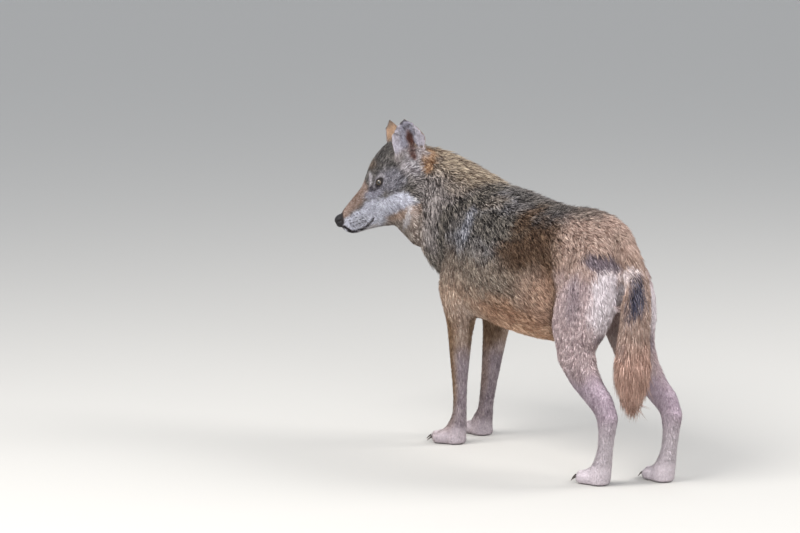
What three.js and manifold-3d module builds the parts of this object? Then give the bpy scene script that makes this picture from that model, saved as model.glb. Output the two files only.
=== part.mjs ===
// A standing timber wolf, life size, as a museum model: the outline runs out to the tips of the coat.
// Millimetres. +Z up, the floor at z = 0, the wolf's body faces -Y and its left side is +X.
// The head is turned to the wolf's left. Each body part is one closed solid, parted from its neighbours
// by a thin cut.
import * as THREE from "three";
import { mergeVertices } from "three/addons/utils/BufferGeometryUtils.js";
import Module from "manifold-3d";

// ---- Driving dimensions -------------------------------------------------------------------------
const WITHERS_Z = 712; // top of the coat over the shoulders
const BODY_SCALE = WITHERS_Z / 712; // every body station below is for a 712 mm wolf
const CUT = 0.4; // gap left between two neighbouring solids

const HEAD_YAW = 64; // degrees the head is turned to the wolf's left
const HEAD_PITCH = 27; // degrees the muzzle points down
const HEAD_ROLL = 0; // degrees the crown leans to the wolf's left
const HEAD_SCALE = 1.03; // every head station below is multiplied by this
const HEAD_AT = [140, -645, 686]; // the head's own origin, between the two eyes

const EYE_RADIUS = 11.5;
const EYE_SIDE = 39; // from the middle plane of the head to an eye's centre
const EYE_AHEAD = 1; // from the head's own origin to the eye centres
const EYE_DROP = 5;

const EAR_LENGTH = 108;
const EAR_HALF_WIDTH = 42;
const EAR_WALL = 7;
const EAR_ROOT = 0.32; // the ear's root below its base, as a share of its length

const CLAW_LENGTH = 19;
const CLAW_RADIUS = 3.6;
const CLAW_CURL = 12.2; // how far a claw's point drops below its root

const COLOURS = {
  grey: 0x8a8074,
  buff: 0xa98e74,
  pale: 0xb8aea6,
  ginger: 0xa9744c,
  amber: 0x8a6a32,
  black: 0x1c1a1b,
  horn: 0x3a322c,
};

// ---- Helpers ------------------------------------------------------------------------------------
const wasm = await Module();
wasm.setup();

const v3 = (x, y, z) => new THREE.Vector3(x, y, z);
const rad = THREE.MathUtils.degToRad;

/** A closed three.js geometry as a solid that can be joined and cut. */
function solid(geometry) {
  const bare = geometry.clone();
  bare.deleteAttribute("normal");
  bare.deleteAttribute("uv");
  const merged = mergeVertices(bare, 1e-3);
  return new wasm.Manifold(
    new wasm.Mesh({
      numProp: 3,
      vertProperties: new Float32Array(merged.attributes.position.array),
      triVerts: new Uint32Array(merged.index.array),
    }),
  );
}

/** A solid back as a three.js geometry. */
function geometryOf(made) {
  const mesh = made.getMesh();
  const positions = new Float32Array(mesh.numVert * 3);
  for (let i = 0; i < mesh.numVert; i++)
    positions.set(
      mesh.vertProperties.subarray(i * mesh.numProp, i * mesh.numProp + 3),
      i * 3,
    );
  const geometry = new THREE.BufferGeometry();
  geometry.setAttribute("position", new THREE.BufferAttribute(positions, 3));
  geometry.setIndex(new THREE.BufferAttribute(mesh.triVerts, 1));
  const flat = geometry.toNonIndexed();
  flat.computeVertexNormals();
  return flat;
}

const joined = (solids) => solids.reduce((all, one) => all.add(one));

/** The largest separate body of a solid: drops slivers that a cut leaves. */
function largest(made) {
  const bodies = made.decompose();
  return bodies.reduce((best, one) => (one.volume() > best.volume() ? one : best));
}

/** Values between rows of numbers, by a Catmull-Rom curve through them. */
function between(rows, t) {
  const last = rows.length - 1;
  const at = Math.min(t * last, last - 1e-9);
  const i = Math.floor(at);
  const f = at - i;
  const row = (k) => rows[Math.max(0, Math.min(last, k))];
  return rows[0].map((_, k) => {
    const [p, a, b, n] = [row(i - 1)[k], row(i)[k], row(i + 1)[k], row(i + 2)[k]];
    const near = 2 * a + (b - p) * f;
    const bend = (2 * p - 5 * a + 4 * b - n) * f * f;
    return 0.5 * (near + bend + (3 * a - p - 3 * b + n) * f * f * f);
  });
}

/** One ring of a loft: a rounded section with its own reach to each side, to the front and to the back. */
function ring(centre, side, front, reach, sides) {
  const points = [];
  for (let i = 0; i < sides; i++) {
    const angle = (2 * Math.PI * i) / sides;
    const c = Math.cos(angle);
    const s = Math.sin(angle);
    const soft = 2 / reach.power;
    const across = Math.sign(c) * Math.abs(c) ** soft * reach.side;
    const along = Math.sign(s) * Math.abs(s) ** soft * (s > 0 ? reach.front : reach.back);
    points.push(centre.clone().addScaledVector(side, across).addScaledVector(front, along));
  }
  return points;
}

/** A closed solid through a list of rings, with a flat fan over each end. */
function loft(rings) {
  const sides = rings[0].length;
  const positions = rings.flat().flatMap((p) => [p.x, p.y, p.z]);
  const ends = [rings[0], rings[rings.length - 1]].map((r) =>
    r.reduce((sum, p) => sum.add(p), v3(0, 0, 0)).divideScalar(sides),
  );
  ends.forEach((p) => positions.push(p.x, p.y, p.z));
  const [first, final] = [rings.length * sides, rings.length * sides + 1];
  const index = [];
  for (let j = 0; j < rings.length - 1; j++)
    for (let i = 0; i < sides; i++) {
      const [a, b] = [j * sides + i, j * sides + ((i + 1) % sides)];
      index.push(a, b, a + sides, b, b + sides, a + sides);
    }
  for (let i = 0; i < sides; i++) {
    const next = (i + 1) % sides;
    const top = (rings.length - 1) * sides;
    index.push(first, next, i);
    index.push(final, top + i, top + next);
  }
  const geometry = new THREE.BufferGeometry();
  geometry.setAttribute("position", new THREE.Float32BufferAttribute(positions, 3));
  geometry.setIndex(index);
  const made = solid(geometry);
  if (made.volume() > 0) return made;
  geometry.setIndex(index.reverse());
  return solid(geometry);
}

/** A limb or tail: rings square to a bent path. Rows are x, y, z, front, back, side. */
function limb(rows, count, sides, grow, power = 2.1) {
  const rings = [];
  for (let i = 0; i < count; i++) {
    const t = i / (count - 1);
    const [x, y, z, front, back, side] = between(rows, t);
    const ahead = between(rows, Math.min(1, t + 0.01));
    const behind = between(rows, Math.max(0, t - 0.01));
    const along = v3(ahead[0] - behind[0], ahead[1] - behind[1], ahead[2] - behind[2]).normalize();
    const across = v3(1, 0, 0).addScaledVector(along, -along.x).normalize();
    const forward = v3().crossVectors(along, across).normalize();
    if (forward.y > 0) forward.negate();
    const reach = { front: front + grow, back: back + grow, side: side + grow, power };
    rings.push(ring(v3(x, y, z), across, forward, reach, sides));
  }
  return loft(rings);
}

/** An egg-shaped lump, turned to point along a direction. */
function lump(centre, size, yaw, pitch, grow, detail = [7, 5]) {
  const geometry = new THREE.SphereGeometry(1, detail[0], detail[1]);
  geometry.rotateX(Math.PI / 2);
  geometry.scale(size[0] + grow, size[1] + grow, size[2] + grow);
  geometry.rotateX(rad(pitch));
  geometry.rotateZ(rad(yaw));
  geometry.translate(centre.x, centre.y, centre.z);
  return solid(geometry);
}

/** A closed region for parting: an outline in the side view (y, z), between two x planes. */
function region(outline, fromX, toX, grow) {
  const middle = outline
    .reduce((sum, [y, z]) => sum.add(new THREE.Vector2(y, z)), new THREE.Vector2())
    .divideScalar(outline.length);
  const shape = new THREE.Shape(
    outline.map(([y, z]) => {
      const out = new THREE.Vector2(y, z).sub(middle).setLength(Math.SQRT2 * grow);
      return new THREE.Vector2(y + out.x, z + out.y);
    }),
  );
  const depth = Math.abs(toX - fromX) + 2 * grow;
  const geometry = new THREE.ExtrudeGeometry(shape, { depth, bevelEnabled: false });
  // The outline's own x and y become the wolf's y and z, and the extrusion runs along the wolf's x.
  geometry.applyMatrix4(new THREE.Matrix4().makeBasis(v3(0, 1, 0), v3(0, 0, 1), v3(1, 0, 0)));
  geometry.translate(Math.min(fromX, toX) - grow, 0, 0);
  return solid(geometry);
}

/** A big block whose face is the plane through a point, on the side that the normal points to. */
function beyond(point, normal, width, depth, grow) {
  const geometry = new THREE.BoxGeometry(width, width, depth);
  geometry.translate(0, 0, depth / 2 - grow);
  const turn = new THREE.Quaternion().setFromUnitVectors(v3(0, 0, 1), normal.clone().normalize());
  geometry.applyQuaternion(turn);
  geometry.translate(point.x, point.y, point.z);
  return solid(geometry);
}

// ---- Trunk --------------------------------------------------------------------------------------
// y, top of the back, widest level, underline, half width
const TRUNK = [
  [-428, 560, 500, 425, 40],
  [-405, 634, 500, 375, 84],
  [-370, 682, 500, 345, 112],
  [-320, 698, 498, 333, 130],
  [-262, 704, 496, 330, 142],
  [-200, 697, 492, 323, 147],
  [-130, 686, 488, 317, 147],
  [-60, 676, 484, 314, 142],
  [5, 671, 482, 315, 133],
  [62, 673, 488, 327, 124],
  [114, 676, 500, 352, 116],
  [162, 671, 512, 382, 106],
  [208, 660, 520, 405, 90],
  [250, 640, 522, 425, 68],
  [286, 604, 518, 445, 46],
  [312, 562, 515, 470, 24],
];

function trunk(grow) {
  const rings = [];
  const count = 18;
  for (let i = 0; i < count; i++) {
    const [y, top, level, under, half] = between(TRUNK, i / (count - 1));
    const reach = {
      front: top - level + grow,
      back: level - under + grow,
      side: half + grow,
      power: 2.15,
    };
    rings.push(ring(v3(0, y, level), v3(1, 0, 0), v3(0, 0, 1), reach, 18));
  }
  return loft(rings);
}

// ---- Head frame ---------------------------------------------------------------------------------
// Head stations are measured along the muzzle from the midpoint of the eyes, with the mouth level.
const headTurn = new THREE.Matrix4().makeBasis(
  ...(() => {
    const flat = v3(Math.sin(rad(HEAD_YAW)), -Math.cos(rad(HEAD_YAW)), 0);
    const up = v3(0, 0, 1);
    const ahead = flat.clone().multiplyScalar(Math.cos(rad(HEAD_PITCH)));
    ahead.addScaledVector(up, -Math.sin(rad(HEAD_PITCH)));
    const left = v3().crossVectors(up, flat).normalize();
    const crown = v3().crossVectors(ahead, left);
    left.applyAxisAngle(ahead, rad(HEAD_ROLL));
    crown.applyAxisAngle(ahead, rad(HEAD_ROLL));
    return [ahead, left, crown];
  })(),
);
const headAt = v3(...HEAD_AT);
const headDirection = (ahead, left, up) => v3(ahead, left, up).applyMatrix4(headTurn);
const inHead = (ahead, left, up) =>
  headDirection(ahead, left, up).multiplyScalar(HEAD_SCALE).add(headAt);

// ahead, top, widest level, underside, half width, squareness
const HEAD = [
  [-150, 44, -30, -104, 50, 2.0],
  [-132, 56, -40, -126, 70, 2.0],
  [-108, 67, -50, -142, 85, 2.0],
  [-84, 73, -58, -148, 93, 1.95],
  [-60, 72, -62, -149, 92, 1.95],
  [-38, 65, -60, -148, 82, 1.95],
  [-18, 56, -54, -144, 67, 2.0],
  [0, 45, -49, -138, 54, 2.05],
  [18, 28, -46, -131, 44, 2.15],
  [34, 12, -48, -124, 38, 2.25],
  [50, -1, -52, -117, 34, 2.3],
  [68, -9, -56, -112, 31.5, 2.35],
  [88, -18, -59, -107, 29, 2.4],
  [106, -26, -61, -104, 27, 2.45],
  [122, -34, -62, -99, 24, 2.4],
  [133, -41, -62, -90, 19, 2.3],
  [140, -50, -62, -78, 12, 2.2],
];

function headLoft(grow) {
  const side = headDirection(0, 1, 0);
  const up = headDirection(0, 0, 1);
  const rings = [];
  const count = 22;
  for (let i = 0; i < count; i++) {
    const [ahead, top, level, under, half, power] = between(HEAD, i / (count - 1));
    const reach = {
      front: (top - level) * HEAD_SCALE + grow,
      back: (level - under) * HEAD_SCALE + grow,
      side: half * HEAD_SCALE + grow,
      power,
    };
    rings.push(ring(inHead(ahead, 0, level), side, up, reach, 18));
  }
  return loft(rings);
}

/** The leathery nose pad, a rounded block on the end of the muzzle. */
function nosePad(grow) {
  const rows = [
    [118, -40, -54, -66, 11],
    [128, -37, -53, -70, 16],
    [138, -37, -52, -71, 18],
    [146, -41, -53, -68, 15.5],
    [150, -47, -54, -62, 8],
  ];
  const side = headDirection(0, 1, 0);
  const up = headDirection(0, 0, 1);
  const rings = [];
  const count = 7;
  for (let i = 0; i < count; i++) {
    const [ahead, top, level, under, half] = between(rows, i / (count - 1));
    const reach = {
      front: (top - level) * HEAD_SCALE + grow,
      back: (level - under) * HEAD_SCALE + grow,
      side: half * HEAD_SCALE + grow,
      power: 2.5,
    };
    rings.push(ring(inHead(ahead, 0, level), side, up, reach, 12));
  }
  return loft(rings);
}

const eyeCentre = (left) => inHead(EYE_AHEAD, left * EYE_SIDE, -EYE_DROP);

function eyeball(left, grow) {
  const geometry = new THREE.SphereGeometry(EYE_RADIUS + grow, 12, 8);
  const centre = eyeCentre(left);
  geometry.translate(centre.x, centre.y, centre.z);
  return solid(geometry);
}

// ---- Neck ---------------------------------------------------------------------------------------
// The neck leaves the trunk forwards and up, and bends to the left into the turned head.
// x, y, z, reach up, reach down, half width
const NECK = [
  [0, -240, 520, 162, 165, 124],
  [2, -330, 556, 154, 178, 130],
  [10, -415, 592, 149, 168, 124],
  [26, -490, 628, 139, 150, 112],
  [48, -560, 662, 125, 134, 97],
  [78, -612, 688, 104, 118, 84],
];

function neck(grow) {
  const rings = [];
  const count = 8;
  const headLeft = headDirection(0, 1, 0);
  for (let i = 0; i < count; i++) {
    const t = i / (count - 1);
    const [x, y, z, up, down, half] = between(NECK, t);
    const ahead = between(NECK, Math.min(1, t + 0.02));
    const behind = between(NECK, Math.max(0, t - 0.02));
    const along = v3(ahead[0] - behind[0], ahead[1] - behind[1], ahead[2] - behind[2]).normalize();
    const across = v3(1, 0, 0).lerp(headLeft, 0.7 * t * t);
    across.addScaledVector(along, -across.dot(along)).normalize();
    const upward = v3().crossVectors(across, along).normalize();
    if (upward.z < 0) upward.negate();
    const reach = { front: up + grow, back: down + grow, side: half + grow, power: 2.1 };
    rings.push(ring(v3(x, y, z), across, upward, reach, 18));
  }
  return loft(rings);
}

// ---- Legs ---------------------------------------------------------------------------------------
// x, y, z, reach forward, reach back, half width
const FORELEG_LEFT = [
  [76, -262, 575, 62, 62, 44],
  [84, -292, 500, 96, 86, 54],
  [83, -320, 430, 94, 76, 55],
  [77, -336, 375, 60, 54, 47],
  [72, -345, 325, 40, 38, 38],
  [70, -350, 279, 35, 34, 31],
  [70, -351, 226, 31, 30, 26],
  [70, -351, 172, 25, 25, 20.5],
  [70, -350, 119, 22, 22, 18.5],
  [70, -352, 78, 23, 22, 20],
  [71, -360, 46, 30, 26, 26],
  [73, -370, 20, 36, 34, 32],
  [74, -374, -6, 36, 34, 32],
];
const FORELEG_RIGHT = [
  [-76, -262, 575, 62, 62, 44],
  [-82, -302, 500, 96, 86, 54],
  [-76, -336, 430, 94, 78, 54],
  [-67, -356, 375, 64, 58, 47],
  [-60, -366, 325, 44, 46, 38],
  [-56, -374, 266, 36, 36, 31],
  [-55, -383, 211, 31, 31, 27],
  [-54, -394, 155, 27, 27, 22],
  [-54, -406, 98, 24, 23, 20],
  [-55, -413, 66, 26, 23, 22],
  [-57, -426, 42, 31, 27, 27],
  [-59, -437, 20, 36, 34, 32],
  [-60, -441, -6, 36, 34, 32],
];
const HINDLEG_LEFT = [
  [42, 190, 608, 54, 50, 38],
  [54, 202, 560, 100, 84, 46],
  [62, 204, 505, 124, 104, 50],
  [68, 200, 445, 124, 112, 51],
  [74, 186, 390, 106, 95, 47],
  [78, 176, 342, 86, 79, 41],
  [80, 194, 292, 62, 60, 34],
  [80, 236, 246, 45, 42, 29],
  [80, 279, 213, 36, 38, 25],
  [80, 307, 184, 34, 42, 25],
  [80, 311, 146, 26, 28, 21.5],
  [80, 306, 100, 23, 23, 19.5],
  [80, 297, 58, 26, 24, 23],
  [80, 281, 24, 34, 32, 30],
  [80, 273, -6, 34, 32, 30],
];
const HINDLEG_RIGHT = [
  [-40, 172, 608, 50, 42, 34],
  [-50, 182, 560, 92, 62, 44],
  [-60, 188, 505, 118, 94, 50],
  [-68, 192, 445, 122, 110, 51],
  [-74, 196, 390, 110, 96, 47],
  [-78, 206, 342, 88, 80, 41],
  [-80, 236, 292, 64, 60, 34],
  [-80, 284, 246, 45, 42, 29],
  [-80, 331, 213, 36, 38, 25],
  [-80, 359, 184, 34, 42, 25],
  [-80, 363, 146, 26, 28, 21.5],
  [-80, 358, 100, 23, 23, 19.5],
  [-80, 349, 58, 26, 24, 23],
  [-80, 333, 24, 34, 32, 30],
  [-80, 325, -6, 34, 32, 30],
];

/** A paw: four toes and a heel pad, pointing the given degrees to the wolf's left of straight ahead. */
function paw(at, yaw, width, length, grow) {
  const turn = rad(yaw);
  const ahead = v3(Math.sin(turn), -Math.cos(turn), 0);
  const left = v3(Math.cos(turn), Math.sin(turn), 0);
  const place = (a, l, z) => v3(at[0], at[1], z).addScaledVector(ahead, a).addScaledVector(left, l);
  const toes = TOES.map(([a, l, spread]) =>
    lump(place(a * length, l * width, 15), [12.5, 25, 17.5], yaw + spread, 8, grow),
  );
  const pad = lump(place(0.02 * length, 0, 20), [0.42 * width, 0.36 * length, 25], yaw, 0, grow, [10, 6]);
  return joined([pad, ...toes]);
}
// Toe centres as shares of the paw's length and width, and the degrees each toe points off its line.
const TOES = [
  [0.2, 0.34, 12],
  [0.4, 0.125, 4],
  [0.4, -0.125, -4],
  [0.2, -0.34, -12],
];
const PAWS = {
  front_left: { at: [78, -380], yaw: 18, width: 84, length: 92 },
  front_right: { at: [-62, -449], yaw: -2, width: 84, length: 92 },
  hind_left: { at: [82, 266], yaw: 8, width: 76, length: 86 },
  hind_right: { at: [-82, 318], yaw: -8, width: 76, length: 86 },
};

/** A claw: a short cone bent down towards the floor. */
function claw(foot, toe, grow) {
  const [a, l, spread] = TOES[toe];
  const { at, yaw, width, length } = PAWS[foot];
  const turn = rad(yaw + spread);
  const ahead = v3(Math.sin(turn), -Math.cos(turn), 0);
  const left = v3(Math.cos(turn), Math.sin(turn), 0);
  const base = v3(at[0], at[1], 17)
    .addScaledVector(v3(Math.sin(rad(yaw)), -Math.cos(rad(yaw)), 0), a * length)
    .addScaledVector(v3(Math.cos(rad(yaw)), Math.sin(rad(yaw)), 0), l * width)
    .addScaledVector(ahead, 17);
  const rings = [];
  const count = 4;
  for (let i = 0; i < count; i++) {
    const t = i / (count - 1);
    const centre = base.clone().addScaledVector(ahead, CLAW_LENGTH * t);
    centre.z -= CLAW_CURL * t * t;
    const slope = v3().copy(ahead).setZ((-2 * CLAW_CURL * t) / CLAW_LENGTH).normalize();
    const up = v3().crossVectors(slope, left).normalize();
    const radius = CLAW_RADIUS * (1 - 0.82 * t) + grow;
    const depth = radius * 1.2;
    rings.push(ring(centre, left, up, { front: depth, back: depth, side: radius, power: 2 }, 5));
  }
  return loft(rings);
}

// ---- Tail ---------------------------------------------------------------------------------------
// x, y, z, then the reach backwards, forwards and to each side
const TAIL = [
  [0, 240, 616, 26, 26, 30],
  [2, 292, 574, 36, 34, 37],
  [10, 330, 522, 38, 36, 40],
  [20, 346, 462, 39, 38, 41],
  [27, 350, 400, 43, 42, 45],
  [31, 350, 345, 49, 48, 52],
  [33, 348, 292, 50, 49, 55],
  [33, 344, 244, 43, 42, 48],
  [32, 340, 210, 30, 29, 35],
  [31, 337, 184, 13, 13, 16],
  [31, 336, 174, 3, 3, 4],
];

const tail = (grow) => limb(TAIL, 14, 12, grow);

// ---- Ears ---------------------------------------------------------------------------------------
/** An ear: a cupped leaf, furred on both sides. Turn is how far its opening faces out from straight ahead. */
function ear(left, base, lean, splay, turn) {
  const levels = 8;
  const steps = 7;
  const face = (offset) => {
    const rows = [];
    for (let j = 0; j <= levels; j++) {
      // Heights below zero are the ear's root, which narrows into the head.
      const t = -EAR_ROOT + ((1 + EAR_ROOT) * j) / levels;
      const above = Math.max(0, t);
      const shape = Math.sqrt(1 - above ** 2.3) * (1 - 0.12 * above) * (1 + 0.9 * Math.min(0, t));
      const width = EAR_HALF_WIDTH * shape + 1.5;
      const cup = 0.95 * (1 - 0.45 * above);
      const row = [];
      for (let i = 0; i <= steps; i++) {
        const s = (2 * i) / steps - 1;
        const bend = s * cup * 1.25;
        const r = width / Math.sin(Math.max(0.35, cup * 1.25));
        row.push(v3(-(r + offset) * Math.cos(bend) + r, (r + offset) * Math.sin(bend), t * EAR_LENGTH));
      }
      rows.push(row);
    }
    return rows;
  };
  const outer = face(EAR_WALL / 2);
  const inner = face(-EAR_WALL / 2);
  // Each level of the ear is one ring: along the back of the leaf, then back along its front.
  const rings = outer.map((row, j) => [...row, ...inner[j].slice().reverse()]);
  const tip = rings[rings.length - 1];
  const top = tip.reduce((sum, p) => sum.add(p), v3(0, 0, 0)).divideScalar(tip.length);
  rings.push(tip.map((p) => p.clone().lerp(top, 0.6).setZ(EAR_LENGTH + 2)));
  const pose = new THREE.Matrix4()
    .makeRotationY(rad(-lean))
    .premultiply(new THREE.Matrix4().makeRotationX(rad(-left * splay)))
    .multiply(new THREE.Matrix4().makeRotationZ(rad(left * turn)));
  const centre = inHead(...base);
  return loft(
    rings.map((r) => r.map((p) => p.applyMatrix4(pose).applyMatrix4(headTurn).add(centre))),
  );
}
const earLeft = () => ear(1, [-107, 54, 18], 12, 12, 68);
const earRight = () => ear(-1, [-105, -50, 13], -2, 14, 34);

// ---- Joining and parting ------------------------------------------------------------------------
const floor = beyond(v3(0, 0, 0), v3(0, 0, -1), 3000, 300, 0);
const legRows = {
  front_left: FORELEG_LEFT,
  front_right: FORELEG_RIGHT,
  hind_left: HINDLEG_LEFT,
  hind_right: HINDLEG_RIGHT,
};
const pawOf = (foot, grow) => {
  const { at, yaw, width, length } = PAWS[foot];
  return paw(at, yaw, width, length, grow);
};
const legOf = (foot, grow) => limb(legRows[foot], 16, 10, grow).add(pawOf(foot, grow));

/**
 * Where each leg is parted from the trunk: one outline below the chest or groin,
 * and one over the shoulder or thigh.
 */
function legRegion(foot, grow) {
  const sideways = foot.endsWith("left") ? 1 : -1;
  const front = foot.startsWith("front");
  const [low, high] = front
    ? [
        [[-560, -20], [-560, 338], [-290, 338], [-268, 300], [-268, -20]],
        [
          ...[[-560, 330], [-500, 400], [-400, 470], [-320, 512]],
          ...[[-258, 490], [-214, 420], [-262, 345], [-290, 330]],
        ],
      ]
    : [
        [[40, -20], [40, 322], [120, 348], [180, 388], [250, 424], [460, 440], [460, -20]],
        [
          ...[[56, 316], [84, 420], [118, 500], [190, 552], [280, 560]],
          ...[[372, 510], [460, 432], [250, 416], [160, 366]],
        ],
      ];
  const middle = front ? 6 : 0;
  return region(low, middle + sideways * 2, middle + sideways * 260, grow).add(
    region(high, sideways * (front ? 40 : 24), sideways * 260, grow),
  );
}

const feet = Object.keys(PAWS);
const flesh = [trunk(0), neck(0), headLoft(0), ...feet.map((f) => legOf(f, 0))];
const whole = joined(flesh).subtract(floor);

const headBlock = (grow) => lump(inHead(112, 0, -22), [232, 232, 232], 0, 0, grow, [20, 12]);
const neckSide = v3(0, -0.8, 0.6);
const neckBlock = (grow) => beyond(v3(0, -365, 600), neckSide, 1200, 600, grow);

const allLegRegions = joined(feet.map((f) => legRegion(f, CUT)));
const headCut = headBlock(CUT);
const neckCut = neckBlock(CUT);
const eyes = [1, -1];
const clawsOf = (foot, grow) => TOES.map((_, toe) => claw(foot, toe, grow));

const parts = [];
const add = (name, made, colour, roughness = 0.85) =>
  parts.push({ name, made: largest(made), colour, roughness });

let head = whole.intersect(headBlock(0));
for (const side of eyes) head = head.subtract(eyeball(side, CUT));
head = head.subtract(nosePad(CUT));
add("head", head, COLOURS.grey);
add("nose", nosePad(0), COLOURS.black, 0.4);
add("eye_left", eyeball(1, 0), COLOURS.amber, 0.1);
add("eye_right", eyeball(-1, 0), COLOURS.amber, 0.1);
add("ear_left", earLeft().subtract(joined([headLoft(CUT), neck(CUT)])), COLOURS.ginger);
add("ear_right", earRight().subtract(joined([headLoft(CUT), neck(CUT)])), COLOURS.ginger);
add("neck", whole.intersect(neckBlock(0)).subtract(headCut), COLOURS.grey);
add("trunk", whole.subtract(neckCut).subtract(headCut).subtract(allLegRegions), COLOURS.grey);
for (const foot of feet) {
  const leg = whole.intersect(legRegion(foot, 0)).subtract(neckCut).subtract(headCut);
  add("leg_" + foot, leg, foot.startsWith("front") ? COLOURS.buff : COLOURS.pale);
}
const rearBody = joined([trunk(CUT), legOf("hind_left", CUT), legOf("hind_right", CUT)]);
add("tail", tail(0).subtract(rearBody), COLOURS.buff);
for (const foot of feet) {
  const toes = pawOf(foot, CUT);
  clawsOf(foot, 0).forEach((one, i) =>
    add("claw_" + foot + "_" + (i + 1), one.subtract(toes), COLOURS.horn, 0.5),
  );
}

// The origin is on the floor, under the middle of the whole wolf's box.
const shapes = parts.map((part) => geometryOf(part.made));
const whereabouts = new THREE.Box3();
for (const { attributes } of shapes)
  whereabouts.union(new THREE.Box3().setFromBufferAttribute(attributes.position));
const middleOfBox = whereabouts.getCenter(v3(0, 0, 0));

const wolf = new THREE.Group();
parts.forEach(({ name, colour, roughness }, i) => {
  const shape = shapes[i].translate(-middleOfBox.x, -middleOfBox.y, -whereabouts.min.z);
  shape.scale(BODY_SCALE, BODY_SCALE, BODY_SCALE);
  const material = new THREE.MeshStandardMaterial({ color: colour, roughness, metalness: 0 });
  const mesh = new THREE.Mesh(shape, material);
  mesh.name = name;
  wolf.add(mesh);
});

export default wolf;
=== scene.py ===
import math

import bmesh
import bpy
import numpy as np
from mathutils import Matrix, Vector
from mathutils.bvhtree import BVHTree
from mathutils.kdtree import KDTree


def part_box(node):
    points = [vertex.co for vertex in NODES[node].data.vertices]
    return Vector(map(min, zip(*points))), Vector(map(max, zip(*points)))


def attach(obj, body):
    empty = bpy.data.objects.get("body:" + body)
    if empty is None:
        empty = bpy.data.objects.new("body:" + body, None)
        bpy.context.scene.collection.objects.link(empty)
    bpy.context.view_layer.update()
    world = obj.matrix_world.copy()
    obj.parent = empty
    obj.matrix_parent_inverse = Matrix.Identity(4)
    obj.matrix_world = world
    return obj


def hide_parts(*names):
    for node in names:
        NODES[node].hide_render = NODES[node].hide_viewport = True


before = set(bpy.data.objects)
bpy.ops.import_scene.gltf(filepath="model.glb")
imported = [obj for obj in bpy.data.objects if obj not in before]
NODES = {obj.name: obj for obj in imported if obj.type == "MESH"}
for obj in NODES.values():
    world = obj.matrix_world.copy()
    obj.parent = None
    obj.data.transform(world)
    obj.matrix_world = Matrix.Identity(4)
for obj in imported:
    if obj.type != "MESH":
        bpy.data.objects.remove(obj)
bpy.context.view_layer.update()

# ---- Sizes in millimetres ----
MM = 0.001
FLESH = [
    "head", "ear_left", "ear_right", "neck", "trunk", "leg_front_left", "leg_front_right",
    "leg_hind_left", "leg_hind_right", "tail",
]
FILLERS = ["eye_left", "eye_right", "nose"]  # they close the sockets while the skin is made
OVERLAP = 0.8  # the nodes grow by this, so that the cuts between them close
FIRST_VOXEL = 4.0
SKIN_VOXEL = 5.3
RNG = np.random.default_rng(7)


def box_mm(node):
    low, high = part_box(node)
    return np.array(low) / MM, np.array(high) / MM


def middle(node):
    low, high = box_mm(node)
    return (low + high) / 2


def fade(low, high, x):
    """0 below `low` and 1 above `high`, or the other way round where `low` is the higher."""
    t = np.clip((x - low) / (high - low), 0, 1)
    return t * t * (3 - 2 * t)


def unit(v):
    return v / np.maximum(np.linalg.norm(v, axis=-1, keepdims=True), 1e-9)


def mix(a, b, t):
    return a + (b - a) * t


def dot(a, b):
    return (a * b).sum(-1, keepdims=True)


def noise(points, size, seed):
    """Smooth random values from -1 to 1, one for each point, changing over `size` millimetres."""
    q = points / size + seed * 17.31
    cell = np.floor(q).astype(np.int64)
    f = q - cell
    f = f * f * (3 - 2 * f)
    total = np.zeros(len(points))
    for corner in range(8):
        step = np.array([corner & 1, corner >> 1 & 1, corner >> 2 & 1])
        k = cell + step
        h = (k[:, 0] * 73856093) ^ (k[:, 1] * 19349663) ^ (k[:, 2] * 83492791) ^ (seed * 2654435)
        h = ((h ^ (h >> 13)) * 1274126177) & 0xFFFFFFFF
        value = ((h >> 8) & 0xFFFF) / 32767.5 - 1
        total += np.where(step == 1, f, 1 - f).prod(1) * value
    return total


# ---- Where the head looks ----
EYE_MIDDLE = (middle("eye_left") + middle("eye_right")) / 2
HEAD_LEFT = unit(middle("eye_left") - middle("eye_right"))
NOSE_BELOW = math.radians(19.3)  # the nose lies this far below straight ahead, seen from the eyes
to_nose = unit(middle("nose") - EYE_MIDDLE)
HEAD_AHEAD = to_nose * math.cos(NOSE_BELOW) - np.cross(HEAD_LEFT, to_nose) * math.sin(NOSE_BELOW)
HEAD_AXES = np.array([HEAD_AHEAD, HEAD_LEFT, np.cross(HEAD_AHEAD, HEAD_LEFT)])
HEAD_ORIGIN = EYE_MIDDLE - 4.1 * HEAD_AHEAD + 5.2 * HEAD_AXES[2]
MIDPLANE = middle("trunk")[0]


def head_place(points):
    """Points as (ahead, left, up) from the middle of the brow."""
    return (points - HEAD_ORIGIN) @ HEAD_AXES.T


def from_head(ahead, left, up):
    return np.array([ahead, left, up]) @ HEAD_AXES


# ---- Meshes ----
def put_points(mesh, points):
    mesh.vertices.foreach_set("co", (points * MM).astype(np.float32).ravel())


def mesh_of(name, points, faces):
    """A mesh from points in millimetres and equal-sized faces."""
    mesh = bpy.data.meshes.new(name)
    mesh.vertices.add(len(points))
    put_points(mesh, points)
    mesh.loops.add(faces.size)
    mesh.loops.foreach_set("vertex_index", faces.astype(np.int32).ravel())
    mesh.polygons.add(len(faces))
    mesh.polygons.foreach_set("loop_start", np.arange(0, faces.size, faces.shape[1], dtype=np.int32))
    mesh.update(calc_edges=True)
    mesh.polygons.foreach_set("use_smooth", np.ones(len(faces), bool))
    return mesh


def fetched(items, name, width, kind):
    values = np.empty(len(items) * width, kind)
    items.foreach_get(name, values)
    return values.reshape(-1, width)


def points_of(mesh):
    return fetched(mesh.vertices, "co", 3, np.float32).astype(float) / MM


def triangles_of(mesh):
    mesh.calc_loop_triangles()
    return fetched(mesh.loop_triangles, "vertices", 3, np.int32)


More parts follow.
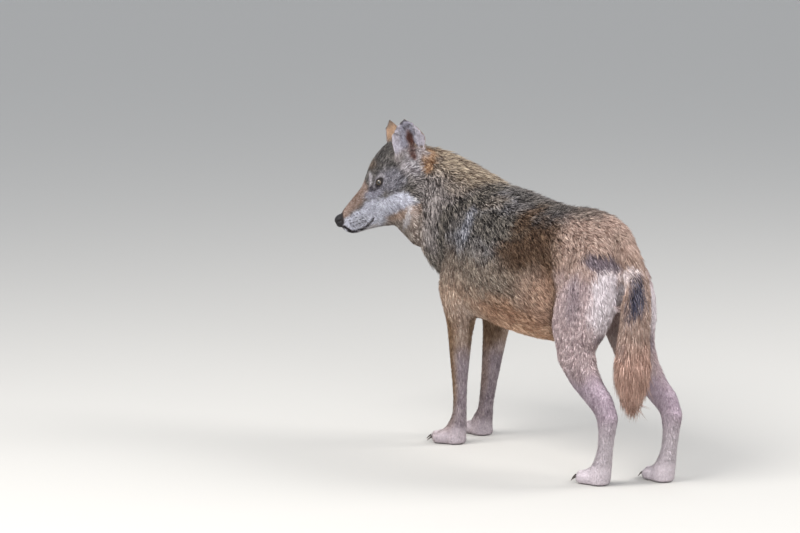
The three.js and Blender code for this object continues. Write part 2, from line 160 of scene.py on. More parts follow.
def edges_of(mesh):
    return fetched(mesh.edges, "vertices", 2, np.int32)


def shown(name, mesh):
    thing = bpy.data.objects.new(name, mesh)
    bpy.context.scene.collection.objects.link(thing)
    return thing


def remeshed(mesh, voxel):
    """The mesh's outside as even quads."""
    thing = shown("work", mesh)
    modifier = thing.modifiers.new("even", "REMESH")
    modifier.mode = "VOXEL"
    modifier.voxel_size = voxel * MM
    modifier.adaptivity = 0
    ready = thing.evaluated_get(bpy.context.evaluated_depsgraph_get())
    made = bpy.data.meshes.new_from_object(ready)
    bpy.data.objects.remove(thing)
    return largest(made)


def largest(mesh):
    """Drops every part of the mesh but the largest."""
    edges = edges_of(mesh)
    label = np.arange(len(mesh.vertices))
    while True:
        low = np.minimum(label[edges[:, 0]], label[edges[:, 1]])
        new = label.copy()
        np.minimum.at(new, edges[:, 0], low)
        np.minimum.at(new, edges[:, 1], low)
        new = new[new]
        if (new == label).all():
            break
        label = new
    keep = label == np.bincount(label).argmax()
    if keep.all():
        return mesh
    place = np.cumsum(keep) - 1
    triangles = triangles_of(mesh)
    triangles = place[triangles[keep[triangles[:, 0]]]]
    return mesh_of(mesh.name, points_of(mesh)[keep], triangles)


def normals_of(points, triangles):
    a, b, c = (points[triangles[:, k]] for k in range(3))
    face = np.cross(b - a, c - a)
    total = np.zeros_like(points)
    for k in range(3):
        for axis in range(3):
            total[:, axis] += np.bincount(triangles[:, k], face[:, axis], len(points))
    return unit(total)


def relaxed(values, edges, rounds, strength=0.5, back=0.0):
    """Values pulled towards their neighbours' mean, then pushed back a little to hold the size."""
    count = np.maximum(np.bincount(edges.ravel(), minlength=len(values)), 1)[:, None]
    for _ in range(rounds):
        for step in (strength, -back * strength):
            if np.all(step == 0):
                continue
            total = np.empty_like(values)
            for k in range(values.shape[1]):
                column = values[:, k]
                near = np.bincount(edges[:, 0], column[edges[:, 1]], len(values))
                total[:, k] = near + np.bincount(edges[:, 1], column[edges[:, 0]], len(values))
            values = values + step * (total / count - values)
    return values


# ---- The flesh nodes, joined ----
def welded(node):
    mesh = NODES[node].data
    points, place = np.unique(points_of(mesh).round(3), axis=0, return_inverse=True)
    triangles = place.reshape(-1)[triangles_of(mesh)]
    a, b, c = triangles.T
    return points, triangles[(a != b) & (b != c) & (c != a)]


def join_nodes(names, grow):
    points, triangles, owner, count = [], [], [], 0
    for k, name in enumerate(names):
        p, t = welded(name)
        points.append(p + normals_of(p, t) * grow)
        triangles.append(t + count)
        owner.append(np.full(len(t), k))
        count += len(p)
    return np.vstack(points), np.vstack(triangles), np.concatenate(owner)


solid_points, solid_triangles, solid_owner = join_nodes(FLESH + FILLERS, OVERLAP)
OWNER_TREE = BVHTree.FromPolygons(solid_points.tolist(), solid_triangles.tolist())
HEAD, EAR_L, EAR_R, NECK, TRUNK, LEG_FL, LEG_FR, LEG_HL, LEG_HR, TAIL = range(len(FLESH))


def part_weights(points, edges, rounds):
    """How much each point belongs to each flesh node, blended across the joins."""
    owner = np.array([solid_owner[OWNER_TREE.find_nearest(p)[2]] for p in points.tolist()])
    owner[owner >= len(FLESH)] = HEAD
    share = np.zeros((len(points), len(FLESH)))
    share[np.arange(len(points)), owner] = 1
    return relaxed(share, edges, rounds)


def blend_parts(share, values):
    """One value for each point from a list with a value for each flesh node."""
    return share @ np.array(values, float)


# ---- The coat's measures ----
# For each flesh node in turn: how deep the skin lies below the tips, the hair's length and width,
# the number of tufts on a square centimetre, and how much the hair's shade varies.
DEPTH = [5, 0.6, 0.6, 21, 18, 7, 7, 9, 9, 20]
LENGTH = [11, 7, 7, 42, 38, 16, 16, 20, 20, 50]
WIDTH = [1.5, 1.2, 1.2, 1.9, 1.9, 1.7, 1.7, 1.8, 1.8, 1.9]
DENSITY = [30, 34, 34, 13, 12, 18, 18, 17, 17, 17]
CONTRAST = [0.95, 0.7, 0.7, 1.45, 0.8, 0.65, 0.65, 0.45, 0.45, 0.6]
# On the head, as (ahead, up): the ear's opening, and the band of short fur behind the ear.
EAR_HOLE = [(-112, 50), (-106, 16)]
BEHIND_EAR = [(-134, 56), (-144, 38), (-148, 16), (-136, -5), (-118, -19)]

ear_points, ear_triangles, _ = join_nodes(["ear_left", "ear_right"], 0)
EAR_TREE = BVHTree.FromPolygons(ear_points.tolist(), ear_triangles.tolist())


def near_ears(points):
    """1 beside the ears, falling to 0 a little way from them."""
    away = np.array([EAR_TREE.find_nearest(p)[3] for p in points.tolist()])
    return fade(34, 14, away)


def in_bowl(q):
    """1 in the hollow that each ear opens out of, for places on the head."""
    away = np.hypot((q[:, 0] + 108) / 27, (q[:, 2] - 34) / 30)
    return fade(1.15, 0.8, away) * fade(32, 42, np.abs(q[:, 1]))


def behind_ear(q):
    """1 on the band of short fur along each ear's back edge."""
    band = to_line(q[:, 0], q[:, 2], BEHIND_EAR)
    return fade(20, 12, band) * fade(44, 56, np.abs(q[:, 1]))


def coat(points, normals, share):
    """Depth, length, width and density of the coat at each point."""
    q = head_place(points)
    z = points[:, 2]
    head, trunk = share[:, HEAD], share[:, TRUNK]
    legs = share[:, LEG_FL] + share[:, LEG_FR] + share[:, LEG_HL] + share[:, LEG_HR]
    values = [blend_parts(share, v) for v in (DEPTH, LENGTH, WIDTH, DENSITY)]

    def change(where, to):
        for k in range(4):
            values[k] = mix(values[k], to[k], where)

    change(head * fade(-5, 60, q[:, 0]), [2.4, 6, 1.2, 46])
    round_eye = np.hypot(q[:, 0] - 6, q[:, 2] + 5)
    change(head * fade(46, 24, round_eye) * fade(14, 26, np.abs(q[:, 1])), [2.0, 6, 1.2, 46])
    change(head * fade(-35, -75, q[:, 0]) * fade(20, -40, q[:, 2]), [12, 26, 1.7, 20])
    change(head * fade(-80, -115, q[:, 0]), [14, 30, 1.7, 17])
    change(legs * fade(350, 460, z), [15, 32, 1.9, 14])
    change(legs * fade(330, 240, z), [4, 10, 1.5, 26])
    change(legs * fade(70, 45, z), [2.4, 5, 1.1, 36])
    change(trunk * fade(-0.2, -0.8, normals[:, 2]), [13, 34, 1.8, 13])
    crest = (trunk + share[:, NECK]) * fade(0.5, 0.9, normals[:, 2])
    change(crest * 0.7, [23, 48, 2.0, 13])
    change(share[:, TAIL] * fade(420, 330, z), [24, 62, 1.8, 17])
    inwards = -normals[:, 0] * np.sign(points[:, 0] - MIDPLANE)
    between = fade(0.2, 0.7, inwards) * fade(330, 380, z)
    change((share[:, LEG_HL] + share[:, LEG_HR]) * between, [7, 14, 1.6, 18])
    change((head + share[:, NECK]) * near_ears(points), [2.5, 10, 1.3, 34])
    return values


# ---- The skin ----
TAIL_GAP = 11  # the tail's front moves back this far, so that its skin stays clear of the hock
# Rounds of smoothing for each flesh node: the solids are faceted, and the body is soft.
EVEN = [10, 4, 4, 40, 100, 22, 22, 26, 26, 40]
apart = solid_points.copy()
tail_points = np.unique(solid_triangles[solid_owner == TAIL])
behind_hock = fade(310, 250, apart[tail_points, 2]) * fade(515, 480, apart[tail_points, 1])
apart[tail_points, 1] += TAIL_GAP * behind_hock
skin = remeshed(mesh_of("skin", apart, solid_triangles), FIRST_VOXEL)
edges = edges_of(skin)
points = points_of(skin)
share = part_weights(points, edges, 6)
rounds = max(EVEN)
points = relaxed(points, edges, rounds, 0.5 * blend_parts(share, EVEN)[:, None] / rounds, 1.0)
triangles = triangles_of(skin)
normals = normals_of(points, triangles)
depth = relaxed(coat(points, normals, share)[0][:, None], edges, 12)
smooth_normals = unit(relaxed(normals, edges, 6))
skin = mesh_of("skin", points - smooth_normals * depth, triangles)
skin = remeshed(skin, SKIN_VOXEL)


def refine(mesh, wanted):
    """Splits the faces whose points are all wanted into four."""
    bm = bmesh.new()
    bm.from_mesh(mesh)
    chosen = [e for e in bm.edges if wanted[e.verts[0].index] and wanted[e.verts[1].index]]
    bmesh.ops.subdivide_edges(bm, edges=chosen, cuts=1, use_grid_fill=True)
    bmesh.ops.triangulate(bm, faces=[f for f in bm.faces if len(f.verts) > 4])
    bm.to_mesh(mesh)
    bm.free()
    return mesh


def fine_places(points, share):
    """The face, the ears and the paws."""
    face = (share[:, HEAD] > 0.5) & (head_place(points)[:, 0] > -62)
    ears = share[:, EAR_L] + share[:, EAR_R] > 0.5
    return face | ears | (points[:, 2] < 56)


points = relaxed(points_of(skin), edges_of(skin), 3, 0.5, 0.9)
put_points(skin, points)
share = part_weights(points, edges_of(skin), 2)
skin = refine(skin, fine_places(points, share))

# ---- Details of the face ----
EYE_RADIUS = (box_mm("eye_left")[1] - box_mm("eye_left")[0])[2] / 2
EYE_SUNK = 2.6
LID_HALF_LENGTH = 10.0
LID_HALF_HEIGHT = 6.0
LID_RISE = 0.36  # the outer corner of the eye sits higher than the inner one
MOUTH = [(143, -72), (138, -83), (131, -91), (122, -96), (108, -98), (90, -97), (75, -92), (62, -86)]


def eye_axes(side):
    """Outwards through the pupil, towards the inner corner, and up, for one eye."""
    out = unit(from_head(0.40, 0.90 * side, 0.12))
    inner = from_head(1, 0, -LID_RISE)
    inner = unit(inner - out * (inner @ out))
    above = np.cross(out, inner) * -side
    return out, inner, above


def eye_centre(side):
    """The lids hold the eye a little deeper than its node, which has no lids."""
    return middle("eye_left" if side > 0 else "eye_right") - EYE_SUNK * eye_axes(side)[0]


def eye_ring(points, side):
    """Below 1 in the eye's opening, and rising outwards; with the distance from the eye's centre."""
    out, inner, above = eye_axes(side)
    centre = eye_centre(side)
    away = points - centre
    distance = np.linalg.norm(away, axis=1)
    along, up = away @ inner, away @ above
    droop = 1 - 0.25 * fade(0, LID_HALF_LENGTH, along)
    ring = np.hypot(along / LID_HALF_LENGTH, up / (LID_HALF_HEIGHT * droop))
    ring[away @ out < 0] = 9
    return ring, distance


def to_line(a, u, line):
    """Distance in the side view to a line of (ahead, up) corners."""
    best = np.full(len(a), 1e9)
    for (a0, u0), (a1, u1) in zip(line[:-1], line[1:]):
        da, du = a1 - a0, u1 - u0
        t = np.clip(((a - a0) * da + (u - u0) * du) / (da * da + du * du), 0, 1)
        best = np.minimum(best, np.hypot(a - a0 - t * da, u - u0 - t * du))
    return best


# In the side view, as (y, z): the fold between the flank and the thigh.
HAUNCH = [(215, 680), (236, 606), (261, 546), (267, 471), (242, 390), (175, 326)]
EAR_TURN = {EAR_L: 68, EAR_R: -34}  # degrees from straight ahead to the ear's open side
EAR_HOLLOW = 4.5
EAR_THICKNESS = 2.2  # the least that is left at the bottom of the ear's hollow
FEET = ["front_left", "front_right", "hind_left", "hind_right"]
TOE_GROOVE = 6.5


def ear_axes(part):
    """For one ear: the ways from root to tip, to its open side and to its outer edge; its middle."""
    p, _ = welded(FLESH[part])
    spread = np.linalg.svd(p - p.mean(0), full_matrices=False)[2]
    tip = spread[0] * np.sign(spread[0][2])
    turn = math.radians(EAR_TURN[part])
    open_side = from_head(math.cos(turn), math.sin(turn), 0)
    open_side = unit(open_side - tip * (open_side @ tip))
    return tip, open_side, np.cross(tip, open_side), p.mean(0)


EARS = {part: ear_axes(part) for part in (EAR_L, EAR_R)}


def on_ear(points, part):
    """How far points lie up an ear and across it from its middle, and in all."""
    tip, _, outwards, centre = EARS[part]
    away = points - centre
    return away @ tip, away @ outwards, np.linalg.norm(away, axis=1)


def hill(x, width):
    return np.exp(-((x / width) ** 2))


def sculpt(points, normals):
    """Sockets, lids, brow, mouth, toes, and the folds of the cheek and flank."""
    q = head_place(points)
    a, s, u = q[:, 0], np.abs(q[:, 1]), q[:, 2]
    push = np.zeros(len(points))
    side_on = fade(0.25, 0.7, np.abs(normals @ HEAD_LEFT))
    mouth = to_line(a, u, MOUTH)
    push -= 2.6 * hill(mouth, 2) * side_on
    push += 1.3 * hill(mouth - 6, 4) * side_on * fade(-104, -94, u)
    push += 2.2 * hill(a - 22, 12) * hill(u - 16, 9) * hill(s - 36, 12)
    push -= 1.6 * hill(a - 32, 9) * hill(u + 10, 6) * side_on
    push -= 2.0 * hill(a - 40, 25) * hill(s, 7) * fade(-20, 0, u)
    fold = to_line(points[:, 1], points[:, 2], HAUNCH)
    outside = fade(0.3, 0.8, np.abs(normals[:, 0])) * fade(640, 560, points[:, 2])
    push -= 5 * hill(fold, 11) * outside
    for foot in FEET:
        push += toes(points, normals, foot)
    inside_out = BVHTree.FromPolygons(points.tolist(), triangles.tolist())
    for part in EARS:
        up, across, away = on_ear(points, part)
        facing = fade(0.2, 0.7, normals @ EARS[part][1]) * (away < 60)
        wanted = EAR_HOLLOW * hill(across - 4 + 0.1 * up, 10) * hill(up + 18, 30) * facing
        for i in np.flatnonzero(wanted > 0.2):
            beyond = inside_out.ray_cast(points[i] - normals[i] * 0.5, -normals[i])[3]
            if beyond is not None:
                wanted[i] = min(wanted[i], max(beyond - EAR_THICKNESS, 0))
        push -= wanted
    result = points + normals * push[:, None]
    # The ears are a little wider and blunter than their nodes.
    for part, (tip, _, outwards, _) in EARS.items():
        up, across, away = on_ear(result, part)
        near = fade(66, 54, away) * (u > 16)
        wider = across * 0.27 * hill(up - 8, 30) * near
        blunter = 0.25 * np.maximum(up - 44, 0) * near
        result = result + outwards * wider[:, None] - tip * blunter[:, None]
    for side in (1, -1):
        ring, distance = eye_ring(result, side)
        centre = eye_centre(side)
        near = (ring < 2.4) & (distance < 2.2 * EYE_RADIUS)
        wanted = np.where(ring < 1, EYE_RADIUS - 3.5, EYE_RADIUS + 1.5)
        wanted = np.where(ring < 1, mix(wanted, EYE_RADIUS + 0.5, fade(0.86, 1, ring)), wanted)
        wanted = mix(wanted, distance, fade(1.25, 2.4, ring))
        wanted = np.where(near, wanted, distance)
        result = centre + unit(result - centre) * wanted[:, None]
    return result


def toes(points, normals, foot):
    """How far the paw's skin moves out to form four rounded toes with grooves between them."""
    claws = np.array([middle(f"claw_{foot}_{k}") for k in (1, 2, 3, 4)])
    leg = points_of(NODES["leg_" + foot].data)
    sole = leg[leg[:, 2] < 1].mean(0)
    ahead = unit((claws.mean(0) - sole) * [1, 1, 0])
    across = np.cross([0, 0, 1], ahead)
    away = points - sole
    x, y = away @ ahead, away @ across
    line = np.sort((claws - sole) @ across)
    near = (np.hypot(x, y) < 75) * fade(62, 48, points[:, 2])
    forward = fade(2, 26, x) * near * fade(-0.75, -0.4, normals[:, 2])
    push = np.zeros(len(points))
    for groove in (line[:-1] + line[1:]) / 2:
        push -= TOE_GROOVE * hill(y - groove, 2.4)
    for toe in line:
        push += 1.4 * hill(y - toe, 5)
    return push * forward + 1.6 * hill(x - 22, 9) * near * fade(0.2, 0.7, normals[:, 2])


points = relaxed(points_of(skin), edges_of(skin), 2, 0.5, 0.9)
q = head_place(points)
close_up = np.zeros(len(points), bool)
for side in (1, -1):
    ring, distance = eye_ring(points, side)
    close_up |= (ring < 2.2) & (distance < 1.9 * EYE_RADIUS)
close_up |= (to_line(q[:, 0], q[:, 2], MOUTH) < 7) & (np.abs(q[:, 1]) < 60)
put_points(skin, points)
skin = refine(skin, close_up)
points, triangles, edges = points_of(skin), triangles_of(skin), edges_of(skin)
points = relaxed(points, edges, 2, 0.5, 0.9)
points = sculpt(points, normals_of(points, triangles))
skin = mesh_of("skin", points, triangles)
edges = edges_of(skin)
normals = normals_of(points, triangles)
share = part_weights(points, edges, 14)
SKIN_TREE = BVHTree.FromPolygons(points.tolist(), triangles.tolist())

# ---- The lie of the coat ----
BACK = np.array([0.0, 1.0, 0.0])
DOWN = np.array([0.0, 0.0, -1.0])
NAPE = unit(np.array([MIDPLANE, -170.0, 640.0]) - (HEAD_ORIGIN - 90 * HEAD_AHEAD))


def lie(points, normals, share):
    """The way the hair points, along the skin."""
    q = head_place(points)
    z = points[:, 2:3]
    sides = np.sqrt(np.clip(1 - normals[:, 2:3] ** 2, 0, 1))
    under = fade(0.1, -0.7, normals[:, 2:3])
    back = -HEAD_AHEAD + HEAD_AXES[2] * (0.10 - 0.75 * fade(-15, -60, q[:, 2:3]))
    back = back + HEAD_AXES[2] * 0.5 * fade(-40, -90, q[:, 0:1]) * fade(0, 30, q[:, 2:3])
    ways = [None] * len(FLESH)
    ways[HEAD] = back
    for part, (tip, _, outwards, _) in EARS.items():
        fan = np.clip(on_ear(points, part)[1] / 18, -1, 1)
        ways[part] = tip + outwards * 0.8 * fan[:, None]
    ways[NECK] = NAPE + DOWN * 0.85 * sides * (1 - 0.5 * under)
    ways[TRUNK] = BACK + DOWN * sides * (1 - under) * mix(0.95, 0.6, fade(-250, 60, points[:, 1:2]))
    for part in (LEG_FL, LEG_FR, LEG_HL, LEG_HR):
        ways[part] = DOWN + BACK * mix(0.12, 0.55, fade(300, 520, z))
    ways[TAIL] = DOWN + BACK * mix(0.06, 0.55, fade(430, 620, z))
    way = sum(share[:, k:k + 1] * unit(ways[k]) for k in range(len(FLESH)))
    return unit(way - normals * dot(way, normals))


# ---- Markings, with some painted light and shade ----
# Each colour has a usual, a dark and a light shade, one after another as sRGB values.
SHADES = {
    "neck": (79, 71, 70, 39, 34, 33, 131, 120, 116),
    "neck_pale": (136, 126, 122, 82, 74, 72, 188, 178, 174),
    # painted light: the lighter rear face of the upper forelegs
    "leg_rear_painted_light": (196, 172, 156, 154, 130, 116, 222, 202, 188),
    # painted shade: the dark inner side of the upper forelegs, under the belly
    "armpit_painted_shade": (112, 86, 66, 76, 56, 42, 146, 118, 94),
    "elbow": (184, 156, 138, 138, 112, 94, 216, 192, 172),
    "neck_top": (140, 120, 102, 88, 70, 58, 182, 164, 142),
    "saddle": (80, 77, 79, 39, 36, 40, 135, 131, 133),
    "blue_grey": (128, 130, 140, 84, 84, 94, 178, 178, 186),
    "ink": (58, 52, 50, 30, 28, 28, 120, 112, 104),
    "back": (79, 66, 57, 39, 31, 24, 135, 119, 102),
    # also painted shade along the fold between flank and thigh
    "brown": (80, 57, 43, 55, 38, 26, 110, 86, 68),
    "flank_grey": (124, 108, 96, 84, 70, 62, 164, 150, 136),
    "flank": (156, 120, 98, 118, 86, 66, 190, 154, 128),
    # the pale belly: partly its own colour, partly painted light from below
    "belly_and_painted_light": (212, 172, 142, 172, 130, 102, 246, 212, 184),
    "groin": (176, 156, 150, 146, 124, 120, 202, 184, 178),
    "rump": (177, 151, 139, 137, 111, 99, 208, 183, 169),
    "thigh": (198, 176, 175, 144, 124, 127, 226, 207, 207),
    # the thigh's dark bar, and painted shade in the fold between leg and tail
    "bar_and_painted_fold_shade": (109, 96, 105, 70, 61, 70, 154, 141, 149),
    "white": (227, 216, 219, 198, 184, 185, 251, 243, 246),
    "shin": (196, 178, 190, 151, 132, 145, 221, 207, 217),
    "cannon": (216, 205, 210, 175, 164, 169, 249, 237, 241),
    "ochre": (160, 126, 98, 116, 88, 64, 190, 158, 126),
    "lilac": (168, 154, 160, 128, 114, 122, 198, 184, 188),
    "tail": (173, 164, 181, 107, 100, 113, 221, 215, 232),
    "gland": (60, 60, 80, 28, 26, 38, 120, 116, 130),
    "brush": (192, 155, 140, 142, 110, 96, 228, 192, 176),
    "chest": (109, 100, 93, 64, 59, 50, 156, 147, 139),
    # the pale throat: partly its own colour, partly painted light
    "throat_and_painted_light": (164, 150, 141, 112, 98, 90, 198, 186, 176),
    "crown": (80, 76, 74, 42, 38, 37, 128, 122, 118),
    "crown_brown": (108, 90, 76, 60, 48, 40, 150, 134, 120),
    "temple": (116, 113, 119, 64, 61, 67, 166, 162, 168),
    "cheek": (196, 196, 206, 154, 152, 162, 226, 227, 238),
    "muzzle_top": (144, 122, 112, 106, 84, 70, 174, 156, 148),
    "grey_side": (140, 137, 144, 98, 96, 106, 174, 172, 182),
    "brow": (168, 162, 164, 120, 114, 118, 200, 196, 200),
    "tear": (52, 47, 52, 30, 27, 30, 88, 82, 88),
    "jaw": (167, 143, 129, 128, 105, 87, 200, 177, 164),
    "chin": (196, 190, 190, 164, 158, 160, 220, 216, 218),
    "lip": (46, 40, 42, 22, 18, 20, 84, 78, 80),
    "rim": (34, 28, 28, 20, 16, 16, 60, 50, 48),
    # the inside of the ear: partly its own grey, partly painted shade
    "ear_in_and_painted_shade": (130, 128, 138, 90, 86, 96, 166, 166, 178),
    "ear_slit": (70, 42, 36, 44, 22, 19, 98, 64, 54),
    "ear_back": (160, 132, 108, 112, 84, 66, 192, 166, 138),
    "ginger": (160, 124, 96, 118, 84, 60, 192, 158, 126),
    "ear_front": (168, 160, 162, 118, 110, 112, 204, 198, 200),
}


def linear(srgb):
    c = np.array(srgb, float) / 255
    return np.where(c <= 0.04045, c / 12.92, ((c + 0.055) / 1.055) ** 2.4)


GAMMA = 2.2  # shades are mixed as the eye sees them, and turned into light at the end
SEEN = {name: linear(three) ** (1 / GAMMA) for name, three in SHADES.items()}


def from_nose(points):
    """1 at the nose pad's surface, and rising outwards."""
    low, high = box_mm("nose")
    return np.linalg.norm((points - middle("nose")) / (high - low) * 2, axis=1)


def spot(p, centre, reach, edge=0.35):
    """1 inside an ellipse or ellipsoid and 0 outside, with a soft edge."""
    return fade(1 + edge, 1 - edge, np.linalg.norm((p - centre) / reach, axis=1))


# Across the tail at each height: the middle of its dark stripe, and half the stripe's width.
STRIPE_HEIGHTS = (380, 420, 450, 472, 495, 520, 545)
STRIPE_MIDDLE = (16, 8, -4, -14, -20, -28, -32)
STRIPE_HALF_WIDTH = (5, 6, 8, 13, 12, 9, 6)
# The dark band that runs down the front of the shoulder, on the flank.
SHOULDER_BAND = [(-120, 668), (-165, 662), (-196, 625), (-226, 560), (-222, 525)]
# The upper edge of the white cheek, in the head's side view.
WHITE_EDGE = ((-60, -46, -20, 10, 37, 65, 100, 140), (-58, -56, -42, -46, -41, -38, -48, -52))
# Patches on the flank: the shade, how strong it is, and its middle and reach as (y, z).
FLANK_PATCHES = [
    ("brown", 1, (168, 574), (122, 60)),
    ("saddle", 0.8, (190, 650), (110, 28)),
    ("ink", 0.9, (0, 606), (85, 34)),
    ("ink", 1, (-108, 660), (26, 18)),
    ("ink", 0.5, (-150, 622), (26, 30)),
    ("blue_grey", 0.8, (-105, 606), (20, 44)),
    ("brown", 1, (100, 606), (26, 26)),
    ("ink", 0.35, (100, 606), (26, 26)),
    ("flank_grey", 0.35, (150, 510), (60, 26)),
    ("blue_grey", 0.4, (-125, 572), (24, 34)),
    ("ink", 0.4, (-70, 560), (34, 40)),
    ("brown", 0.8, (90, 628), (30, 20)),
    ("ink", 0.6, (-140, 690), (30, 16)),
    ("rump", 0.35, (190, 460), (70, 70)),
    ("neck_top", 0.5, (-52, 655), (34, 14)),
]


def markings_and_painted_light(points, normals, share):
    """The usual, dark and light colour of the coat at each point, as nine columns, with painted light and
    shade in a few places.
    """
    q = head_place(points)
    ragged = points + 14 * np.stack([noise(points, 26, k) for k in (1, 2, 3)], 1)
    fine = points + 4 * np.stack([noise(points, 9, k) for k in (4, 5, 6)], 1)
    y, z = ragged[:, 1], ragged[:, 2]
    side_view = ragged[:, 1:3]
    from_middle = np.abs(ragged[:, 0] - MIDPLANE)
    top = fade(0.45, 0.9, normals[:, 2])
    under = fade(-0.35, -0.8, normals[:, 2])
    inner = fade(0.2, -0.5, normals[:, 0] * np.sign(points[:, 0] - MIDPLANE))
    part = share.T
    front_leg = part[LEG_FL] + part[LEG_FR]
    hind_leg = part[LEG_HL] + part[LEG_HR]
    trunk, neck, tail, head = (part[k] for k in (TRUNK, NECK, TAIL, HEAD))
    shade = np.repeat(SEEN["flank"][None], len(points), 0)

    def paint(name, where):
        nonlocal shade
        shade = mix(shade, SEEN[name], np.clip(where, 0, 1)[:, None])

    def within(part):
        return lambda name, where: paint(name, part * where)

    # Trunk and neck
    broad = z + 22 * noise(points, 50, 8)
    paint("flank_grey", fade(400, 470, broad) * fade(230, 60, y))
    # The belly is pale: partly its own buff colour, partly painted light, brighter as if lit from below.
    paint("belly_and_painted_light", fade(395, 330, z))
    paint("saddle", fade(500, 590, broad) * fade(190, 90, y))
    paint("back", fade(560, 620, z) * fade(60, 130, y))
    paint("brown", 0.35 * fade(470, 520, z) * fade(-20, 110, y))
    for name, strength, place, reach in FLANK_PATCHES:
        paint(name, strength * spot(side_view, place, reach))
    fold_y = np.interp(points[:, 2], *np.array(HAUNCH[::-1]).T[::-1])
    soft = mix(12, 48, fade(500, 590, z))
    beyond_fold = (points[:, 1] - fold_y + 5 * noise(points, 12, 9)) / soft
    haunch = fade(-1, 1.2, beyond_fold) * (trunk + hind_leg)
    haunch = np.maximum(haunch, hind_leg * fade(400, 370, z))
    fold = to_line(points[:, 1], points[:, 2], HAUNCH)
    # Painted shade: a brown line darkens the crease along the fold between flank and thigh.
    paint("brown", 0.75 * fade(15, 4, fold) * fade(590, 560, z) * (trunk + hind_leg))
    paint("rump", haunch)
    paint("chest", fade(-190, -300, y) * fade(600, 470, z) * (trunk + neck))
    paint("neck", neck * fade(480, 560, z))
    paint("neck_top", neck * top * 0.9)
    side_of_neck = fade(-232, -290, y) * fade(725, 700, z) * fade(500, 540, z)
    paint("neck_pale", 0.85 * (neck + trunk) * side_of_neck)
    paint("neck_pale", 0.7 * neck * spot(side_view, (-240, 640), (46, 50)))
    paint("ink", 0.9 * fade(30, 14, to_line(y, z, SHOULDER_BAND)))
    # The underside of the neck is pale: partly its own colour, partly painted light, as if lit from behind.
    paint("throat_and_painted_light", neck * under)
    spine = fade(42, 22, from_middle) * top * fade(-190, -120, y) * fade(345, 290, y)
    paint("ink", 0.55 * spine)
    # Hind legs
    hind_leg = hind_leg * haunch
    leg = within(hind_leg)
    leg("thigh", fade(560, 500, z))
    seat = haunch * (hind_leg + trunk)
    paint("bar_and_painted_fold_shade", seat * 0.9 * spot(side_view, (398, 560), (48, 15)))
    leg("bar_and_painted_fold_shade", 0.35 * spot(side_view, (352, 480), (26, 60)))
    paint("white", seat * fade(398, 424, y) * fade(350, 410, z) * fade(560, 535, z))
    leg("groin", inner * fade(200, 260, z) * fade(430, 390, z))
    leg("shin", fade(300, 230, z) * 0.9)
    leg("thigh", 0.6 * spot(side_view, (385, 330), (40, 60)))
    # Painted shade: a dark patch in the fold at the bottom of the seat, between the hind leg and the tail.
    paint("bar_and_painted_fold_shade", seat * 0.7 * spot(side_view, (432, 360), (14, 26)))
    leg("cannon", fade(190, 120, z))
    # Forelegs
    leg = within(front_leg)
    rear_face = fade(-0.3, 0.8, normals[:, 1])
    leg("elbow", fade(500, 420, z))
    leg("ochre", fade(370, 330, z))
    # Painted light: the rear faces of the upper forelegs are lighter, as if lit from behind.
    leg("leg_rear_painted_light", fade(440, 400, z) * rear_face)
    # Painted shade: the inner side of each upper foreleg is darker, as if shaded by the belly.
    leg("armpit_painted_shade", fade(200, 340, z) * fade(470, 430, z) * inner)
    leg("lilac", fade(290, 220, z) * np.maximum(rear_face, 0.6 * inner))
    leg("lilac", fade(160, 90, z) * 0.7)
    leg("cannon", fade(60, 30, z) * 0.6)
    # Tail
    on_tail = within(tail)
    paint("rump", tail)
    on_tail("tail", 0.8 * fade(548, 520, z) * fade(4, 20, fine[:, 0] + 4))
    on_tail("brush", fade(405, 350, z))
    pale_side = fade(6, 18, fine[:, 0]) * fade(375, 410, z) * fade(535, 500, z)
    on_tail("brow", 0.9 * pale_side)
    stripe = np.abs(fine[:, 0] - np.interp(fine[:, 2], STRIPE_HEIGHTS, STRIPE_MIDDLE))
    stripe = stripe / np.interp(fine[:, 2], STRIPE_HEIGHTS, STRIPE_HALF_WIDTH)
    rear = fade(0.1, 0.4, normals[:, 1]) * fade(372, 400, z) * fade(552, 530, z)
    on_tail("gland", fade(1.3, 0.7, stripe) * rear)
    on_tail("back", fade(230, 190, z) * 0.6)
    # Head
    face = within(head)
    a, s, u = head_place(fine).T
    s = np.abs(s)
    side_on = fade(0.1, 0.6, np.abs(normals @ HEAD_LEFT))
    place = np.stack([a, u], 1)
    paint("crown", head)
    face("crown_brown", 0.8 * spot(place, (6, 42), (18, 14)) * fade(34, 22, s))
    face("temple", spot(place, (-22, -12), (36, 30)))
    face("muzzle_top", fade(32, 46, a) * 0.9 * fade(-40, -22, u + 0.3 * (a - 54)))
    face("muzzle_top", fade(34, 50, a) * fade(22, 12, s) * fade(-60, -40, u))
    face("grey_side", side_on * spot(place, (34, -27), (28, 14)))
    face("cheek", side_on * fade(6, -6, u - np.interp(a, *WHITE_EDGE)) * fade(-58, -44, a))
    face("cheek", fade(110, 122, a) * fade(-48, -60, u))
    face("jaw", fade(-86, -98, u + 0.1 * a) * fade(48, 20, a))
